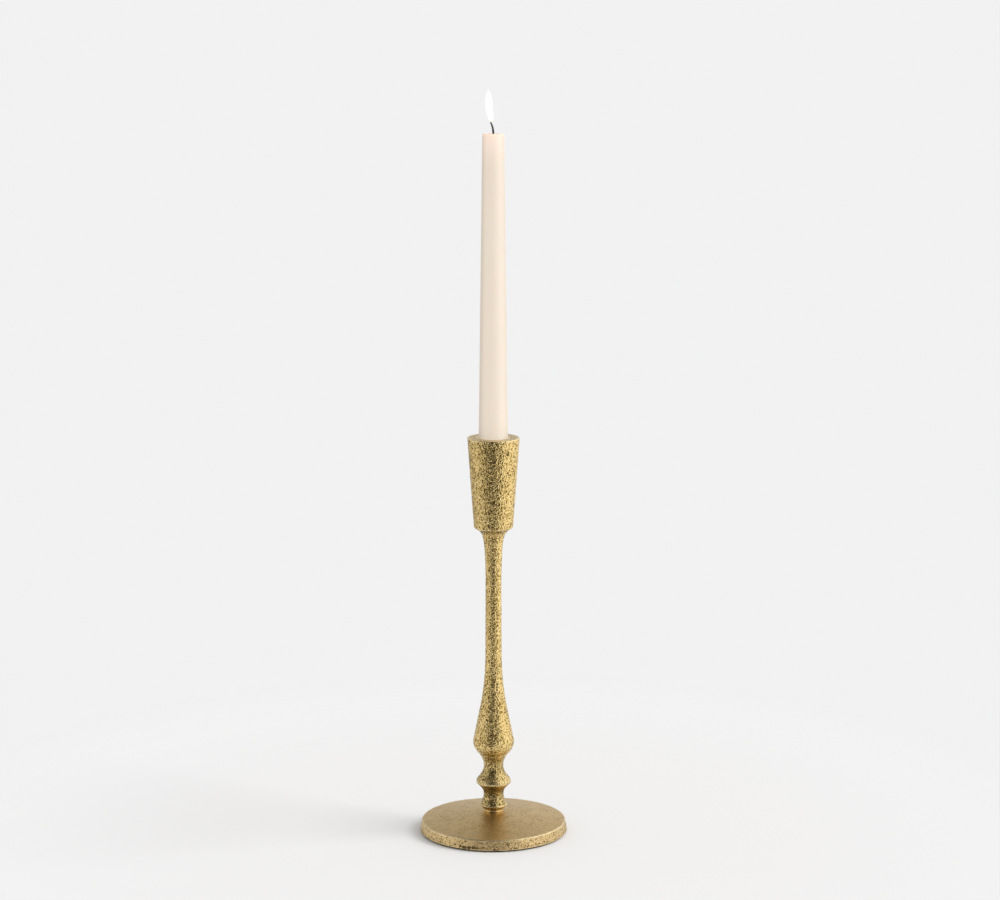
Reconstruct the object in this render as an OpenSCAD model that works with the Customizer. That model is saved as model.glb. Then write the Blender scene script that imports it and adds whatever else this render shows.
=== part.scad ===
/* [Base] */
// Diameter of the base at its foot
base_d = 112; // [104:1:124]
// Height of the base's side wall
base_wall_h = 8.1; // [7:0.1:10]
// How far the side wall leans in over its height
base_draft = 1.3; // [0.4:0.1:2]
// Rise of the domed top from its edge to the centre
base_rise = 6.5; // [5:0.1:8]

/* [Felt] */
// Thickness of the felt pad
felt_t = 2; // [1.6:0.1:3]
// How far the felt stands below the metal
felt_proud = 1.2; // [0.5:0.1:1.2]
// Width of the metal ring left around the felt
felt_margin = 1.6; // [1.6:0.1:8]

/* [Lower knop] */
// Height of the bright ring between the base and the knop
ring_h = 1.6; // [1:0.1:2.5]
// Diameter of that ring
ring_d = 14.2; // [13:0.1:15]
// Height of the knop section
knop_h = 43.5; // [43:0.1:46]
// Diameter of the collar
collar_d = 20.8; // [18:0.1:22]
// Height of the collar's edge above the section's foot
collar_z = 3.5; // [3:0.1:4]
// Diameter of the lower neck
low_neck_d = 15.2; // [14:0.1:16]
// Height of the lower neck
low_neck_z = 12.6; // [11:0.1:13]
// Diameter of the knop
knop_d = 26.3; // [23:0.1:28]
// Height of the middle of the knop's edge
knop_z = 21.5; // [21:0.1:22]
// Diameter of the upper neck
high_neck_d = 14.8; // [14:0.1:16]
// Height of the upper neck
high_neck_z = 34.3; // [33.5:0.1:35]
// Diameter of the seat that the stem stands on
stem_seat_d = 21.2; // [20:0.1:22]

/* [Stem] */
// Length of the stem section
stem_l = 170.5; // [160:0.5:190]
// Diameter of the bulb
bulb_d = 31; // [28:0.5:34]
// Height of the bulb's widest line above the stem's foot
bulb_z = 9.2; // [8.5:0.1:10]
// Diameter of the stem where the bulb's taper ends
stem_d = 12.2; // [12:0.1:13]
// Diameter at the narrowest line
waist_d = 11.9; // [11.6:0.1:12]
// Diameter of the stem's top, where the cup sits
stem_top_d = 17.8; // [17:0.1:19]

/* [Cup] */
// Height of the cup section
cup_h = 73.5; // [70:0.5:80]
// Height of the cove under the cup
cup_cove_h = 3.9; // [3.5:0.1:4.5]
// Diameter of the cup at its foot
cup_foot_d = 29.3; // [28:0.1:31]
// Diameter of the cup at its rim
cup_rim_d = 39; // [36:0.1:42]
// Diameter of the candle socket
socket_d = 22.8; // [22.6:0.1:23.5]
// Depth of the candle socket
socket_depth = 28; // [24:0.5:32]

/* [Candle] */
// Diameter of the candle's foot
candle_d = 22.2; // [21.5:0.1:22.4]
// Diameter of the candle just under its top
candle_tip_d = 16.3; // [14:0.1:18]
// Length of the wax
candle_l = 254; // [200:1:300]
// Diameter of the braided wick inside the wax
wick_d = 1.8; // [1.6:0.1:2.2]
// Diameter of the burnt wick above the wax
char_d = 1.2; // [0.8:0.1:1.4]
// Height of the burnt wick
char_h = 8.3; // [6:0.1:10]

/* [Fasteners] */
// Diameter of the screw and of both studs
thread_d = 6; // [5:0.5:6]
// Length of the base screw under its head
screw_l = 25; // [25:1:28]
// Length of the stud between knop and stem
low_stud_l = 40; // [30:1:40]
// Length of the stud between stem and cup
high_stud_l = 36; // [30:1:38]

/* [Hidden] */
$fn = 128;

brass = "#b39556";
bright_brass = "#c9a655";
steel = "#a9adb1";
felt = "#2a2b29";
wax = "#f2e5d5";
char = "#2b221c";

// Fits
thread_gap = 0.1;       // a tapped hole is this much wider than its thread
clear_gap = 0.6;        // a clearance hole is this much wider than the screw
felt_gap = 0.4;         // room around the felt
seat_gap = 0.1;         // room under the candle's foot
cut = 1;                // how far a cutting shape runs past a face

// Heights of the joint faces above the surface that the candlestick stands on
base_top_z = felt_proud + base_wall_h + base_rise;
knop_foot_z = base_top_z + ring_h;
stem_foot_z = knop_foot_z + knop_h;
cup_foot_z = stem_foot_z + stem_l;
rim_z = cup_foot_z + cup_h;
socket_floor_z = rim_z - socket_depth;
wax_foot_z = socket_floor_z + seat_gap;
wax_top_z = wax_foot_z + candle_l;

// Base screw stack, from the top of the counterbore down
washer_d = 2 * thread_d;
washer_t = 1.6;
head_d = 10;
head_h = 3.9;
slot_w = 1.6;
slot_depth = 1.8;
bore_d = 15;            // counterbore in the base
bore_top_z = 10;        // its ceiling, where the flat washer bears
head_seat_z = bore_top_z - 2 * washer_t;
shank_r = thread_d / 2;
tapped_r = shank_r + thread_gap / 2;
clear_r = shank_r + clear_gap / 2;
thread_in_knop = 18;    // how far the lower stud enters the knop
thread_in_stem = 18;    // how far the upper stud enters the stem
stud_room = 1.5;        // depth of a tapped hole past the end of its stud
tip = 0.6;              // chamfer on the ends of threads

ease = 0.4;             // small chamfer on turned edges
soft = 2.0;             // rounding where the cup's wall meets its underside

// Points along a cubic curve from a to d, leaving along b and arriving along c
function curve(a, b, c, d, steps = 10) = [
    for (i = [0:steps]) let (t = i / steps, s = 1 - t)
        s * s * s * a + 3 * s * s * t * b + 3 * s * t * t * c + t * t * t * d
];

// A cove: from the lip of one moulding it hollows in to the upright line of a neck
function cove(lip, neck) = curve(
    lip,
    [lip[0] + 0.6 * (neck[0] - lip[0]), lip[1] + 0.35 * (neck[1] - lip[1])],
    [neck[0], lip[1] + 0.6 * (neck[1] - lip[1])],
    neck
);

// Points along a circle's arc about c
function arc(c, r, from, to, steps = 8) = [
    for (i = [0:steps]) let (a = from + (to - from) * i / steps)
        c + r * [cos(a), sin(a)]
];

function reversed(points) = [for (i = [len(points) - 1:-1:0]) points[i]];

module turned(outline) {
    rotate_extrude() polygon(outline);
}

// A threaded rod drawn as a plain cylinder with chamfered ends
module rod(r, length) {
    turned([
        [0, 0], [r - tip, 0], [r, tip], [r, length - tip], [r - tip, length], [0, length]
    ]);
}

module base_disc() {
    r = base_d / 2;
    wall_top_z = felt_proud + base_wall_h;
    edge_r = r - base_draft;
    shoulder = [edge_r - 1.0, wall_top_z];
    centre = [ring_d / 2 + 0.3, base_top_z];
    color(brass)
    difference() {
        turned(concat(
            [[0, felt_proud], [r - ease, felt_proud], [r, felt_proud + ease]],
            [[edge_r + 0.1, wall_top_z - 0.9], [edge_r - 0.25, wall_top_z - 0.3]],
            curve(
                shoulder,
                shoulder + [-14, 2.5],
                centre + [16, -1.3],
                centre,
                16
            ),
            [[0, base_top_z]]
        ));
        translate([0, 0, felt_proud - cut])
            cylinder(r = r - felt_margin + felt_gap, h = felt_t - felt_proud + cut);
        cylinder(d = bore_d, h = bore_top_z);
        cylinder(r = clear_r, h = base_top_z + cut);
    }
}

module felt_pad() {
    color(felt)
    cylinder(r = base_d / 2 - felt_margin, h = felt_t);
}

module base_screw() {
    color(steel)
    difference() {
        union() {
            translate([0, 0, head_seat_z]) rod(shank_r, screw_l);
            translate([0, 0, head_seat_z - head_h])
                turned([
                    [0, 0], [head_d / 2 - 0.8, 0], [head_d / 2, 0.8],
                    [head_d / 2, head_h], [0, head_h]
                ]);
        }
        translate([-head_d, -slot_w / 2, head_seat_z - head_h - cut])
            cube([2 * head_d, slot_w, slot_depth + cut]);
    }
}

module lock_washer() {
    gap_w = 1;
    color(steel)
    difference() {
        translate([0, 0, head_seat_z])
            cylinder(d = washer_d - 0.2, h = washer_t);
        translate([0, 0, head_seat_z - cut])
            cylinder(r = clear_r, h = washer_t + 2 * cut);
        translate([0, -gap_w / 2, head_seat_z - cut])
            cube([washer_d, gap_w, washer_t + 2 * cut]);
    }
}

module flat_washer() {
    color(steel)
    difference() {
        translate([0, 0, bore_top_z - washer_t])
            cylinder(d = washer_d, h = washer_t);
        translate([0, 0, bore_top_z - washer_t - cut])
            cylinder(r = clear_r, h = washer_t + 2 * cut);
    }
}

module foot_ring() {
    r = ring_d / 2;
    color(bright_brass)
    difference() {
        translate([0, 0, base_top_z])
            turned([
                [0, 0], [r - ease, 0], [r, ease], [r, ring_h - ease], [r - ease, ring_h], [0, ring_h]
            ]);
        translate([0, 0, base_top_z - cut])
            cylinder(r = clear_r, h = ring_h + 2 * cut);
    }
}

module lower_knop() {
    collar_r = collar_d / 2;
    knop_r = knop_d / 2;
    low_neck = [low_neck_d / 2, low_neck_z];
    high_neck = [high_neck_d / 2, high_neck_z];
    seat_r = stem_seat_d / 2;
    color(brass)
    translate([0, 0, knop_foot_z])
    difference() {
        turned(concat(
            [[0, 0], [ring_d / 2 + 0.4, 0], [collar_r - 0.7, collar_z - 0.9]],
            arc([collar_r - 0.6, collar_z], 0.6, -45, 50, 4),
            cove([collar_r - 0.7, collar_z + 1], low_neck),
            reversed(cove([knop_r - 0.3, knop_z - 1], low_neck)),
            [[knop_r, knop_z - 0.6], [knop_r, knop_z + 0.5], [knop_r - 0.2, knop_z + 1.4]],
            cove([knop_r - 0.9, knop_z + 2.8], high_neck),
            reversed(cove([seat_r - 0.1, knop_h - 0.4], high_neck)),
            [[seat_r - 0.3, knop_h], [0, knop_h]]
        ));
        translate([0, 0, -cut])
            cylinder(r = tapped_r, h = knop_h + 2 * cut);
    }
}

module lower_stud() {
    color(steel)
    translate([0, 0, stem_foot_z - thread_in_knop])
        rod(shank_r, low_stud_l);
}

module stem() {
    bulb_r = bulb_d / 2;
    taper_start = [bulb_r - 0.8, bulb_z + 5];
    taper_end = [stem_d / 2, 83];
    waist = [waist_d / 2, stem_l - 43.5];
    top_r = stem_top_d / 2;
    low_hole = low_stud_l - thread_in_knop + stud_room;
    color(brass)
    translate([0, 0, stem_foot_z])
    difference() {
        turned(concat(
            [[0, 0], [stem_seat_d / 2 + 0.1, 0]],
            curve(
                [stem_seat_d / 2 + 0.5, 0.4],
                [bulb_r - 2.9, 1.8],
                [bulb_r, bulb_z - 4],
                [bulb_r, bulb_z]
            ),
            curve(
                [bulb_r, bulb_z + 0.4],
                [bulb_r, bulb_z + 2],
                taper_start + [0.35, -1.7],
                taper_start,
                5
            ),
            curve(
                taper_start + [-0.2, 1],
                taper_start + [-6.2, 30.5],
                [taper_end[0] + 0.05, taper_end[1] - 30],
                taper_end,
                14
            ),
            curve(
                waist,
                [waist[0], stem_l - 18],
                [waist[0] + 0.65, stem_l - 4.2],
                [top_r, stem_l - 0.2],
                14
            ),
            [[top_r - 0.2, stem_l], [0, stem_l]]
        ));
        translate([0, 0, -cut])
            cylinder(r = tapped_r, h = low_hole + cut);
        translate([0, 0, stem_l - thread_in_stem - stud_room])
            cylinder(r = tapped_r, h = thread_in_stem + stud_room + cut);
    }
}

module upper_stud() {
    color(steel)
    translate([0, 0, cup_foot_z - thread_in_stem])
        rod(shank_r, high_stud_l);
}

module candle_cup() {
    foot_r = cup_foot_d / 2;
    rim_r = cup_rim_d / 2;
    neck = [stem_top_d / 2 + 0.1, 0.2];
    lip = [foot_r - soft - 0.45, cup_cove_h];
    lean = atan((rim_r - foot_r) / (cup_h - cup_cove_h));
    color(brass)
    translate([0, 0, cup_foot_z])
    difference() {
        turned(concat(
            [[0, 0], [neck[0] - 0.2, 0]],
            curve(neck, neck + [0.7, 1.1], lip - [1, 0.7], lip),
            arc([foot_r - soft, cup_cove_h + soft + 0.2], soft, -90, -lean),
            [[rim_r, cup_h - ease], [rim_r - ease, cup_h], [0, cup_h]]
        ));
        translate([0, 0, cup_h - socket_depth])
            cylinder(d = socket_d, h = socket_depth + cut);
        translate([0, 0, cup_h - ease])
            cylinder(d1 = socket_d, d2 = socket_d + 2 * (ease + cut), h = ease + cut);
        translate([0, 0, -cut])
            cylinder(r = tapped_r, h = high_stud_l - thread_in_stem + stud_room + cut);
    }
}

module candle_wax() {
    foot_r = candle_d / 2;
    tip_r = candle_tip_d / 2;
    shoulder_r = 1.6;
    dish_r = 5;
    dish_depth = 0.8;
    color(wax)
    translate([0, 0, wax_foot_z])
    difference() {
        turned(concat(
            [[0, 0], [foot_r - 0.6, 0], [foot_r, 1], [foot_r, socket_depth - 4]],
            arc([tip_r - shoulder_r, candle_l - shoulder_r], shoulder_r, 0, 80),
            [[dish_r, candle_l - 0.15], [dish_r / 2, candle_l - dish_depth], [0, candle_l - dish_depth]]
        ));
        translate([0, 0, -cut])
            cylinder(d = wick_d + thread_gap, h = candle_l + 2 * cut);
    }
}

module wick() {
    bend = 28;
    bend_r = char_h / sin(bend);
    color(char)
    union() {
        translate([0, 0, wax_foot_z]) cylinder(d = wick_d, h = candle_l);
        translate([-bend_r, 0, wax_top_z])
            rotate([90, 0, 0])
            rotate_extrude(angle = bend) translate([bend_r, 0]) circle(d = char_d);
    }
}

base_disc();
felt_pad();
base_screw();
lock_washer();
flat_washer();
foot_ring();
lower_knop();
lower_stud();
stem();
upper_stud();
candle_cup();
candle_wax();
wick();
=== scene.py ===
# %% [markdown]
# # A cast brass candlestick with a lit taper candle
# The candlestick is four brass castings stacked on one axis: a round base, a small knop, a slender
# stem and a tapered cup. Screws hidden inside hold them together, and felt covers the underside.
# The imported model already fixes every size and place, so this lesson starts by loading it and then
# only gives the pieces their real surfaces: sand-cast skin, turned edges, wax, cotton and felt.

# %% The frame
import math

import bmesh
import bpy
import numpy as np
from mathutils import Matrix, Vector


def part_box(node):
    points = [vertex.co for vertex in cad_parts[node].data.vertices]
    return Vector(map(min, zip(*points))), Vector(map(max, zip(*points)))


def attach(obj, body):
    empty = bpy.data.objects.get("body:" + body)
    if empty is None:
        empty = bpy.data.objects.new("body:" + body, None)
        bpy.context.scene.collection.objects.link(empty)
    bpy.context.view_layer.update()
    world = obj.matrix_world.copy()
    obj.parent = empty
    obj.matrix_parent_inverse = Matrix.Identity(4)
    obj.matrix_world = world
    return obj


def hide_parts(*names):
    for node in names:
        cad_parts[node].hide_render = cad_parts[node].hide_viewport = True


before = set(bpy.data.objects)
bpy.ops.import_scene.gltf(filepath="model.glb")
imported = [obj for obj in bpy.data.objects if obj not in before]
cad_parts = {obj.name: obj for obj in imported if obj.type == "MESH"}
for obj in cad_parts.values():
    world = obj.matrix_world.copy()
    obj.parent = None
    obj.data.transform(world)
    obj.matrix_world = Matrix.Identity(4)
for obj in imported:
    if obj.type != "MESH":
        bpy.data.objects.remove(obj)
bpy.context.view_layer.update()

MM = 0.001
scene = bpy.context.scene
print("nodes:", ", ".join(sorted(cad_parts)))

# %% [markdown]
# ## Camera, floor and light
# A long lens from a little above the rim keeps the slim shape upright, with no wide-angle lean. The
# camera is made first because every later choice of detail is judged through it.
# The studio is a bright tent that is open only where the camera stands. Polished metal shows what
# surrounds it, so that dark opening is what draws the dark band down the middle of the stem, and the
# big soft light on the right is what draws the pale one beside it. The tent is a world shader: it is
# seen by the metal, while the lens sees only an even, pale background. One sun-like lamp draws the
# soft shadow and models the wax. It is hidden from the metal, because its glare in so coarse a grain
# would break the smooth right side into blotches.

# %% Camera
CAMERA_AWAY = 2.133       # metres from the candlestick's axis
CAMERA_HEIGHT = 0.671
CAMERA_ASIDE = 0.0049
CAMERA_TILT = 9.99        # degrees below level
LENS = 104.3

lens = bpy.data.cameras.new("long_lens")
lens.lens = LENS
lens.sensor_width = 36
camera = bpy.data.objects.new("camera", lens)
camera.location = (CAMERA_ASIDE, -CAMERA_AWAY, CAMERA_HEIGHT)
camera.rotation_euler = (math.radians(90 - CAMERA_TILT), 0, 0)
scene.collection.objects.link(camera)
scene.camera = camera
scene.view_settings.view_transform = "Standard"
print("camera", [round(v, 3) for v in camera.location], "lens", LENS)

# %% Small helpers for node trees
def add(tree, kind, feeds=None, **settings):
    """Adds a node. feeds gives its inputs by name or number: a value, or the socket that drives it."""
    made = tree.nodes.new(kind)
    for name, value in settings.items():
        setattr(made, name, value)
    for key, value in (feeds or {}).items():
        if isinstance(value, bpy.types.NodeSocket):
            tree.links.new(value, made.inputs[key])
        else:
            made.inputs[key].default_value = value
    return made


def calc(tree, operation, *terms, clamp=False):
    """One step of arithmetic between numbers or sockets."""
    feeds = dict(enumerate(terms))
    return add(tree, "ShaderNodeMath", feeds, operation=operation, use_clamp=clamp).outputs[0]


def ease(tree, value, low, high, to_low=0.0, to_high=1.0):
    """A soft step from to_low to to_high as value goes from low to high."""
    feeds = {"Value": value, "From Min": low, "From Max": high, "To Min": to_low, "To Max": to_high}
    return add(tree, "ShaderNodeMapRange", feeds, interpolation_type="SMOOTHSTEP").outputs["Result"]


def noise(tree, place, scale, detail=2.0, roughness=0.5):
    """Soft cloudy noise, about 0.5 on average."""
    feeds = {"Vector": place, "Scale": scale, "Detail": detail, "Roughness": roughness}
    return add(tree, "ShaderNodeTexNoise", feeds).outputs[0]


def blend(tree, amount, first, second):
    """Mixes two colours."""
    feeds = {"Factor": amount, "A": first, "B": second}
    made = tree.nodes.new("ShaderNodeMix")
    made.data_type = "RGBA"
    sockets = {s.name: s for s in made.inputs if s.enabled}
    for key, value in feeds.items():
        if isinstance(value, bpy.types.NodeSocket):
            tree.links.new(value, sockets[key])
        else:
            sockets[key].default_value = value
    return next(s for s in made.outputs if s.enabled)


# %% The studio tent
PAPER = (0.885, 0.885, 0.89, 1)       # what the lens sees behind everything
TENT_CLOTH = (1.0, 0.985, 0.96, 1)    # the colour of the light that metal sees
ROOM_LIGHT = (1.0, 0.99, 0.975, 1)    # the colour of the light on wax, felt and floor
ROOM_LEFT = 0.63                      # how bright that light is from each side
ROOM_RIGHT = 0.79
RIGHT_PANEL = 1.25                    # how bright each part of the tent looks in the metal
LEFT_PANEL = 0.82
BACK_PANEL = 0.7
TOP_PANEL = 0.25
FRONT_STRIP = 0.24                    # a dim strip level with the lens, which the base's wall mirrors
OPENING = 0.015                       # the dark opening round the camera
TOP_LEAN = 0.3                        # how far the right panel leans over towards the top


def make_tent():
    """A world that polished metal sees as a tent, soft things as even light, and the lens as paper."""
    world = bpy.data.worlds.new("studio_tent")
    world.use_nodes = True
    tree = world.node_tree
    tree.nodes.clear()
    towards = add(tree, "ShaderNodeTexCoord").outputs["Generated"]
    way = add(tree, "ShaderNodeSeparateXYZ", {0: towards}).outputs
    # each ease below fades a panel in over a range of one direction: x right, y away, z up
    overhang = calc(tree, "MULTIPLY", calc(tree, "MAXIMUM", way[2], 0.0), TOP_LEAN)
    right = ease(tree, calc(tree, "ADD", way[0], overhang), 0.42, 0.78, 0.0, RIGHT_PANEL)
    left = ease(tree, way[0], -0.45, -0.88, 0.0, LEFT_PANEL)
    back = ease(tree, way[1], -0.1, 0.9, 0.0, BACK_PANEL)
    back = calc(tree, "MULTIPLY", back, ease(tree, way[2], 0.95, 0.5))
    back = calc(tree, "MULTIPLY", back, ease(tree, way[0], -0.4, 0.4, 0.85, 1.25))
    above = ease(tree, way[2], 0.5, 1.0, 0.0, TOP_PANEL)
    sides = calc(tree, "ADD", right, left)
    light = calc(tree, "MAXIMUM", sides, calc(tree, "MAXIMUM", back, above))
    ahead = ease(tree, way[1], -0.2, -0.8, 0.0, FRONT_STRIP)
    ahead = calc(tree, "MULTIPLY", ahead, ease(tree, way[2], 0.2, 0.1))
    ahead = calc(tree, "MULTIPLY", ahead, ease(tree, way[2], -0.08, 0.04))
    light = calc(tree, "MAXIMUM", calc(tree, "MAXIMUM", light, ahead), OPENING)
    even = ease(tree, way[0], -1.0, 1.0, ROOM_LEFT, ROOM_RIGHT)
    tent = add(tree, "ShaderNodeBackground", {"Color": TENT_CLOTH, "Strength": light})
    soft = add(tree, "ShaderNodeBackground", {"Color": ROOM_LIGHT, "Strength": even})
    paper = add(tree, "ShaderNodeBackground", {"Color": PAPER, "Strength": 1.0})
    path = add(tree, "ShaderNodeLightPath").outputs
    feeds = {0: path["Is Diffuse Ray"], 1: tent.outputs[0], 2: soft.outputs[0]}
    lit = add(tree, "ShaderNodeMixShader", feeds)
    feeds = {0: path["Is Camera Ray"], 1: lit.outputs[0], 2: paper.outputs[0]}
    add(tree, "ShaderNodeOutputWorld", {"Surface": add(tree, "ShaderNodeMixShader", feeds).outputs[0]})
    return world


scene.world = make_tent()
print("tent nodes:", len(scene.world.node_tree.nodes))

# %% The soft lamp
KEY_FROM = Vector((1.0, -0.15, 0.93))
KEY_STRENGTH = 1.85
KEY_SOFTNESS = 34         # degrees the lamp fills as seen from the candlestick

key = bpy.data.lights.new("soft_key", "SUN")
key.energy = KEY_STRENGTH
key.angle = math.radians(KEY_SOFTNESS)
key_light = bpy.data.objects.new("soft_key", key)
key_light.rotation_euler = KEY_FROM.to_track_quat("Z", "Y").to_euler()
key_light.visible_glossy = False
scene.collection.objects.link(key_light)
print("lamp", KEY_STRENGTH, "spread over", KEY_SOFTNESS, "degrees")


# %% The floor
FLOOR_SOLID = 0.22        # metres from the axis to where the floor starts to melt into the background
FLOOR_END = 0.5


def make_floor():
    """A pale disc that fades into the background, so that it has no edge from any side."""
    mesh = bpy.data.meshes.new("floor")
    shape = bmesh.new()
    bmesh.ops.create_circle(shape, cap_ends=True, segments=96, radius=FLOOR_END)
    shape.to_mesh(mesh)
    shape.free()
    floor = bpy.data.objects.new("floor", mesh)
    scene.collection.objects.link(floor)
    paint = bpy.data.materials.new("pale_floor")
    paint.use_nodes = True
    tree = paint.node_tree
    shader = tree.nodes["Principled BSDF"]
    shader.inputs["Base Color"].default_value = (0.815, 0.815, 0.82, 1)
    shader.inputs["Roughness"].default_value = 0.75
    place = add(tree, "ShaderNodeTexCoord").outputs["Object"]
    away = add(tree, "ShaderNodeVectorMath", {0: place}, operation="LENGTH").outputs["Value"]
    tree.links.new(ease(tree, away, FLOOR_END * 0.98, FLOOR_SOLID), shader.inputs["Alpha"])
    mesh.materials.append(paint)


make_floor()
print("floor radius", FLOOR_END, "m, melting away from", FLOOR_SOLID, "m")

# %% [markdown]
# ## Outlines
# Every brass piece was finished on a lathe, so one half of its outline says everything about its
# shape. An outline could be drawn with a handful of points and smoothed by a subdivision modifier,
# but then the surface would drift away from the design's sizes. Here it is a chain of lines, arcs and
# cubic curves between the design's own points, sampled finely enough to carry the cast grain.
# Each point also says how much sand-cast skin it carries: 1 where the casting was left as it came
# from the mould, 0 where a tool cut it clean, and something between where it was faced or sanded.

# %% Drawing an outline
FINE = 0.4                # spacing of points on a surface that shows grain, in mm
COARSE = 2.0              # spacing where a tool cut it and nothing shows
LEAST_SKIN = 0.3          # a point with less cast skin than this carries no pits
FACED_SKIN = 0.35         # what a facing cut left of the skin on the cup's rim
SANDED_SKIN = 0.4         # what sanding left of it on the top of the base
EDGE_REACH = 0.7          # how far round a sharp edge hands polish, in mm
HOLLOW_REACH = 3.0        # how far round a hollow the brown stays, in mm


def line(a, b, step=FINE):
    """Points from a to b, in mm from the axis and from the piece's foot."""
    count = max(1, round(math.dist(a, b) / step))
    return [tuple(np.array(a) + (np.array(b) - np.array(a)) * i / count) for i in range(count + 1)]


def curve(a, b, c, d, step=FINE):
    """Points along a cubic curve that leaves a towards b and reaches d from c."""
    a, b, c, d = (np.array(p, float) for p in (a, b, c, d))
    count = max(3, round((math.dist(a, b) + math.dist(b, c) + math.dist(c, d)) / step))

    def spot(t):
        """The point a share t of the way along."""
        return (1 - t) ** 3 * a + 3 * (1 - t) ** 2 * t * b + 3 * (1 - t) * t * t * c + t ** 3 * d

    return [tuple(spot(i / count)) for i in range(count + 1)]


def cove(lip, neck, step=FINE):
    """The hollow that runs from a moulding's lip in to an upright neck."""
    (r0, z0), (r1, z1) = lip, neck
    return curve(lip, (r0 + 0.6 * (r1 - r0), z0 + 0.35 * (z1 - z0)), (r1, z0 + 0.6 * (z1 - z0)), neck, step)


def arc(centre, radius, start, stop, step=0.3):
    """Points along part of a circle, from one angle to another in degrees."""
    count = max(4, round(abs(math.radians(stop - start)) * radius / step))
    turn = [math.radians(start + (stop - start) * i / count) for i in range(count + 1)]
    return [(centre[0] + radius * math.cos(t), centre[1] + radius * math.sin(t)) for t in turn]


def cast(points):
    """Points that keep their sand-cast skin."""
    return [(r, z, 1.0) for r, z in points]


def cut(points, left=0.0):
    """Points on faces that a tool has cut. left is how much cast skin the cut left on them."""
    return [(r, z, left) for r, z in points]


def outline(*runs):
    """Joins runs of points, drops repeats and lets the cast skin fade in over about a millimetre."""
    joined = [p for run in runs for p in run]
    kept = [joined[0]]
    for point in joined[1:]:
        if math.dist(point[:2], kept[-1][:2]) > 0.02:
            kept.append(point)
    points = np.array(kept)
    skin = points[:, 2].copy()
    for _ in range(2):
        skin = np.convolve(np.pad(skin, 1, mode="edge"), (0.25, 0.5, 0.25), "valid")
    points[:, 2] = np.minimum(skin, points[:, 2])
    return points


def edges_of(points):
    """From 1 on a sharp outward edge, where hands polish, to -1 in a hollow, where brown stays."""
    steps = np.diff(points[:, :2], axis=0)
    heading = np.unwrap(np.arctan2(steps[:, 1], steps[:, 0]))
    turn = np.concatenate([[0], np.diff(heading), [0]])
    travel = np.concatenate([[0], np.cumsum(np.linalg.norm(steps, axis=1))])
    apart = np.abs(travel[:, None] - travel[None, :])
    sharp = np.exp(-(apart / EDGE_REACH) ** 2) @ np.maximum(turn, 0)
    hollow = np.exp(-(apart / HOLLOW_REACH) ** 2) @ np.minimum(turn, 0)
    return np.clip(sharp / 1.1 + hollow / 1.2, -1, 1)


# %% [markdown]
# ## Turning and casting
# A Spin in mesh code would turn these outlines, and a Displace modifier would roughen them. A
# Geometry Nodes tree does both in one place and keeps its sizes as named inputs, so that the cup,
# the stem and the candle can share it with other settings. The tree sweeps the outline round a
# circle so small that it acts as the axis, closes the seam and the poles, and then pushes the skin
# in and out: a fine grain left by the sand, a slow swell left by hand finishing, and single pits
# where gas or loose sand sat in the mould.

# %% Beginning and ending a tree
def new_tree(name, inputs):
    """A geometry tree with named inputs, given as name: (socket kind, default)."""
    tree = bpy.data.node_groups.new(name, "GeometryNodeTree")
    tree.interface.new_socket("Geometry", in_out="INPUT", socket_type="NodeSocketGeometry")
    for label, (kind, value) in inputs.items():
        made = tree.interface.new_socket(label, in_out="INPUT", socket_type=kind)
        if value is not None:
            made.default_value = value
    tree.interface.new_socket("Geometry", in_out="OUTPUT", socket_type="NodeSocketGeometry")
    return tree


def finish_tree(tree, geometry, material):
    """Every tree ends the same way: real geometry with its material on it."""
    real = add(tree, "GeometryNodeRealizeInstances", {0: geometry}).outputs[0]
    painted = add(tree, "GeometryNodeSetMaterial", {"Geometry": real, "Material": material}).outputs[0]
    add(tree, "NodeGroupOutput", {0: painted})


def sampled_at(tree, geometry, index, value, kind):
    """The value that a point of other geometry holds."""
    node = add(tree, "GeometryNodeSampleIndex", data_type=kind, domain="POINT")
    tree.links.new(geometry, node.inputs["Geometry"])
    tree.links.new(value, node.inputs["Value"])
    tree.links.new(index, node.inputs["Index"])
    return node.outputs["Value"]


# %% The lathe tree
PIT_DEPTH = 0.6           # a pit's depth as a share of its radius
PIT_BROWN = 2.5           # how strongly a pit counts as low ground for the colour
CRISP = math.radians(62)  # a fold sharper than this keeps a hard edge


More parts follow.
